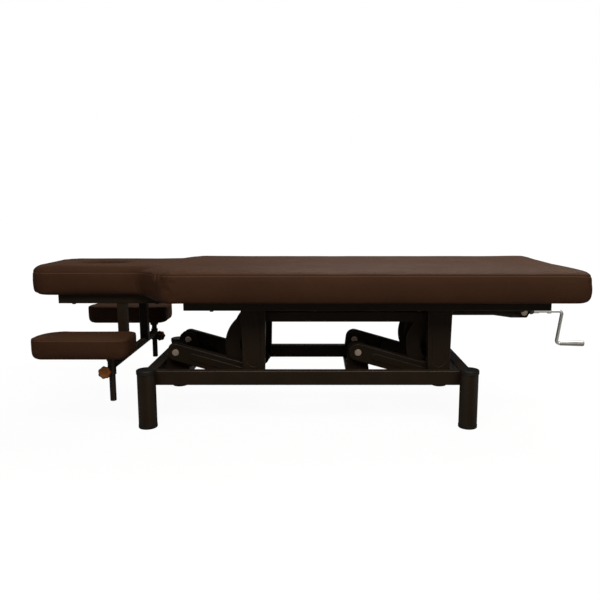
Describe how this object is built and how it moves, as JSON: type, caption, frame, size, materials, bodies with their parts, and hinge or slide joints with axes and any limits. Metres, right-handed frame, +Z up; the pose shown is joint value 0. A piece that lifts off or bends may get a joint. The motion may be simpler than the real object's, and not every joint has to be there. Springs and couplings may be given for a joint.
{
  "type": "height-adjustable massage table",
  "caption": "Crank-operated massage table: upholstered top with a face opening on a parallelogram lift, with swinging armrests on clamped posts and a tubular base.",
  "frame": {"origin": "on the floor, under the middle of the whole length and width", "axes": "+X towards the crank at the foot end, +Y across the table, +Z up"},
  "size_m": [2.134, 0.738, 0.574],
  "materials": {
    "upholstery": "satin",
    "plywood": "matte",
    "zinc": "satin",
    "chrome": "polished",
    "knob_plastic": "satin",
    "black_plastic": "matte",
    "rubber": "matte",
    "frame_paint": "satin"
  },
  "bodies": {
    "base": {"legs": "frame_paint", "feet": "rubber", "leg_caps": "black_plastic", "base_end_head": "frame_paint", "base_end_foot": "frame_paint", "base_rail_near": "frame_paint", "base_rail_far": "frame_paint", "base_beams": "frame_paint", "pivot_brackets": "frame_paint", "base_pivot_bolts": "zinc"},
    "head_arm": {"head_arm_near": "frame_paint", "head_arm_far": "frame_paint", "head_arm_tie": "frame_paint", "head_arm_shaft": "frame_paint", "head_lever_pin": "zinc"},
    "foot_arm": {"foot_arm_near": "frame_paint", "foot_arm_far": "frame_paint", "foot_arm_tie": "frame_paint", "foot_arm_shaft": "frame_paint", "foot_lever_pins": "zinc"},
    "link": {"link_bars": "frame_paint"},
    "top": {"cushion": "upholstery", "deck": "plywood", "deck_bolts": "frame_paint", "top_rail_near": "frame_paint", "top_rail_far": "frame_paint", "top_cross_head": "frame_paint", "top_cross_foot": "frame_paint", "top_beam_head": "frame_paint", "top_beam_foot": "frame_paint", "head_rail_near": "frame_paint", "head_rail_far": "frame_paint", "head_cross": "frame_paint", "tube_plugs": "black_plastic", "post_head_near": "frame_paint", "post_head_far": "frame_paint", "post_foot_near": "frame_paint", "post_foot_far": "frame_paint", "armrest_spreader": "frame_paint", "armrest_hangers": "frame_paint", "armrest_sleeves": "frame_paint", "drive_bracket": "frame_paint"},
    "drive": {"drive_tube": "frame_paint", "drive_housing": "frame_paint", "drive_trunnions": "zinc"},
    "screw": {"drive_screw": "zinc"},
    "push_rod": {"push_rod": "frame_paint"},
    "crank_joint": {"crank_joint": "zinc"},
    "crank": {"crank": "chrome"},
    "crank_grip": {"crank_grip": "chrome"},
    "armrest_rod_near": {"armrest_rod_near": "frame_paint"},
    "armrest_near": {"armrest_plate_near": "frame_paint", "armrest_board_near": "plywood", "armrest_cushion_near": "upholstery"},
    "armrest_rod_far": {"armrest_rod_far": "frame_paint"},
    "armrest_far": {"armrest_plate_far": "frame_paint", "armrest_board_far": "plywood", "armrest_cushion_far": "upholstery"},
    "knob_near": {"knob_near": "knob_plastic"},
    "knob_far": {"knob_far": "knob_plastic"}
  },
  "joints": [
    {"name": "lift", "type": "hinge", "parent": "base", "child": "head_arm", "pos_m": [-0.535, 0, 0.248], "axis": [0, -1, 0], "range_deg": [0, 61]},
    {"name": "top_level", "type": "hinge", "parent": "head_arm", "child": "top", "pos_m": [-0.23701, 0, 0.16255], "axis": [0, -1, 0], "range_deg": [-61, 0]},
    {"name": "foot_lift", "type": "hinge", "parent": "base", "child": "foot_arm", "pos_m": [0.153, 0, 0.248], "axis": [0, -1, 0], "range_deg": [0, 61]},
    {"name": "link_level", "type": "hinge", "parent": "head_arm", "child": "link", "pos_m": [-0.20791, 0, 0.3807], "axis": [0, -1, 0], "range_deg": [-61, 0]},
    {"name": "drive_tilt", "type": "hinge", "parent": "top", "child": "drive", "pos_m": [0.812, 0, 0.3807], "axis": [0, -1, 0], "range_deg": [0, 4.06]},
    {"name": "push_out", "type": "slide", "parent": "drive", "child": "push_rod", "axis": [-1, 0, 0], "range_m": [0, 0.20887]},
    {"name": "screw_turn", "type": "hinge", "parent": "drive", "child": "screw", "pos_m": [0.812, 0, 0.3807], "axis": [1, 0, 0], "continuous": true},
    {"name": "crank_fold", "type": "hinge", "parent": "drive", "child": "crank_joint", "pos_m": [0.85, 0, 0.3807], "axis": [0, 1, 0], "range_deg": [0, 80]},
    {"name": "crank_turn", "type": "hinge", "parent": "crank_joint", "child": "crank", "pos_m": [0.85, 0, 0.3807], "axis": [1, 0, 0], "continuous": true},
    {"name": "grip_turn", "type": "hinge", "parent": "crank", "child": "crank_grip", "pos_m": [1.067, 0, 0.2497], "axis": [1, 0, 0], "continuous": true},
    {"name": "armrest_near_height", "type": "slide", "parent": "top", "child": "armrest_rod_near", "axis": [0, 0, 1], "range_m": [0, 0.07]},
    {"name": "armrest_near_swing", "type": "hinge", "parent": "armrest_rod_near", "child": "armrest_near", "pos_m": [-0.729, -0.294, 0.279], "axis": [0, 0, 1], "range_deg": [-30, 90]},
    {"name": "armrest_far_height", "type": "slide", "parent": "top", "child": "armrest_rod_far", "axis": [0, 0, 1], "range_m": [0, 0.05]},
    {"name": "armrest_far_swing", "type": "hinge", "parent": "armrest_rod_far", "child": "armrest_far", "pos_m": [-0.729, 0.294, 0.279], "axis": [0, 0, 1], "range_deg": [-90, 30]},
    {"name": "knob_near_turn", "type": "hinge", "parent": "top", "child": "knob_near", "pos_m": [-0.748, -0.294, 0.215], "axis": [0, -1, 0], "range_deg": [-180, 180]},
    {"name": "knob_far_turn", "type": "hinge", "parent": "top", "child": "knob_far", "pos_m": [-0.71, 0.294, 0.215], "axis": [0, 1, 0], "range_deg": [-180, 180]}
  ],
  "couplings": [
    {"joint": "top_level", "follows": "lift", "ratio": -1},
    {"joint": "foot_lift", "follows": "lift", "ratio": 1},
    {"joint": "link_level", "follows": "lift", "ratio": -1},
    {"joint": "drive_tilt", "follows": "lift", "ratio": 0.066509},
    {"joint": "push_out", "follows": "lift", "m_per_rad": 0.19618},
    {"joint": "crank_turn", "follows": "screw_turn", "ratio": 1}
  ]
}
